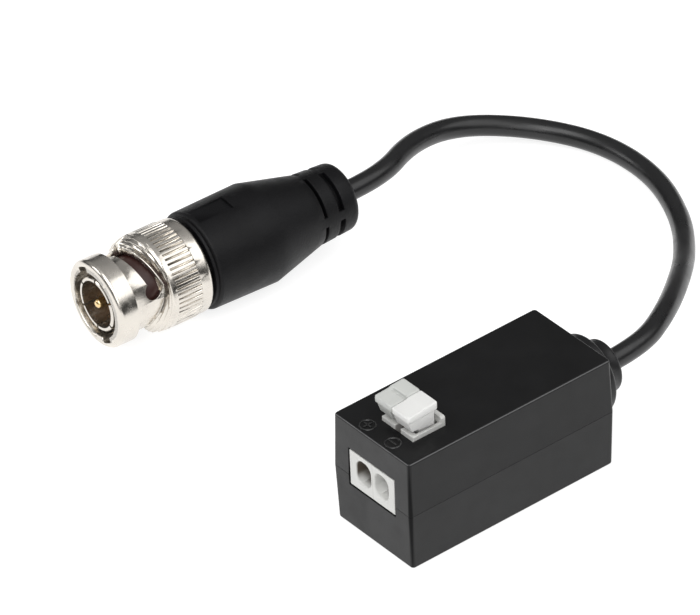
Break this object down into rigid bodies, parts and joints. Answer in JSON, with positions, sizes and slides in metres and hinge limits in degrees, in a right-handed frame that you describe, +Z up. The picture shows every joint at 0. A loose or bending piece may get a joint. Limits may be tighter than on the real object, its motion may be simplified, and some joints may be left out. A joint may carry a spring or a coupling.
{
  "type": "video balun",
  "caption": "Small two-shell balun box with a spring-clamp terminal at one end and a short coaxial pigtail that carries a bayonet plug.",
  "frame": {"origin": "under the middle of the box and its cable relief, on the surface that the box stands on", "axes": "+X across the box, to the right when looking at the terminals' wire holes; +Y from the wire holes towards the cable's outlet; +Z up, out of the face that carries the levers"},
  "size_m": [0.0745, 0.0849, 0.022],
  "materials": {
    "housing_plastic": "fine matt black",
    "terminal_plastic": "satin warm white",
    "lever_plastic": "satin white",
    "spring_steel": "bright strip",
    "tinned_copper": "tin plated copper",
    "board_laminate": "green solder mask",
    "ferrite": "dark ferrite",
    "copper_wire": "enamelled copper",
    "chip_ceramic": "moulded and fired bodies",
    "soft_black": "soft black moulding",
    "cable_jacket": "satin black jacket",
    "boot_plastic": "finely grained matt black",
    "nickel_plate": "bright nickel plate",
    "insulator_plastic": "brown moulding",
    "gold_plate": "gold plate",
    "gasket_rubber": "dark red rubber"
  },
  "bodies": {
    "balun": {"upper_shell": "housing_plastic", "lower_shell": "housing_plastic", "terminal_body": "terminal_plastic", "clamp_spring_left": "spring_steel", "clamp_spring_right": "spring_steel", "contact_bar_left": "tinned_copper", "contact_bar_right": "tinned_copper", "circuit_board": "board_laminate", "toroid_core": "ferrite", "winding_primary": "copper_wire", "winding_secondary": "copper_wire", "chip_resistors": "chip_ceramic", "chip_capacitors": "chip_ceramic", "surge_diode": "chip_ceramic", "cable_relief": "soft_black", "cable_tail_box": "cable_jacket", "signal_wire": "copper_wire", "shield_wire": "tinned_copper", "cable": "cable_jacket", "plug_boot": "boot_plastic", "cable_tail_plug": "cable_jacket", "crimp_ferrule": "nickel_plate", "plug_body": "nickel_plate", "outer_contact": "nickel_plate", "insulator": "insulator_plastic", "center_pin": "gold_plate", "gasket": "gasket_rubber", "wave_washer": "spring_steel", "retaining_ring": "spring_steel"},
    "left_lever": {"lever_left": "lever_plastic"},
    "right_lever": {"lever_right": "lever_plastic"},
    "thrust_carrier": {"thrust_washer": "spring_steel"},
    "nut": {"coupling_nut": "nickel_plate"}
  },
  "joints": [
    {"name": "left_lever_press", "type": "hinge", "parent": "balun", "child": "left_lever", "pos_m": [-0.00111, -0.01235, 0.0153], "axis": [1, 0, 0], "range_deg": [0, 10], "stiffness_Nm_per_rad": 0.12, "springref_deg": -2.86, "deforming": ["clamp_spring_left"]},
    {"name": "right_lever_press", "type": "hinge", "parent": "balun", "child": "right_lever", "pos_m": [0.00251, -0.01235, 0.0153], "axis": [1, 0, 0], "range_deg": [0, 10], "stiffness_Nm_per_rad": 0.12, "springref_deg": -2.86, "deforming": ["clamp_spring_right"]},
    {"name": "nut_push", "type": "slide", "parent": "balun", "child": "thrust_carrier", "axis": [-0.0558, -0.9984, 0], "range_m": [0, 0.0006], "stiffness_N_per_m": 1500, "springref_m": -0.0004, "deforming": ["wave_washer"]},
    {"name": "nut_turn", "type": "hinge", "parent": "thrust_carrier", "child": "nut", "pos_m": [-0.05955, -0.02145, 0.0075], "axis": [-0.0558, -0.9984, 0], "continuous": true}
  ]
}
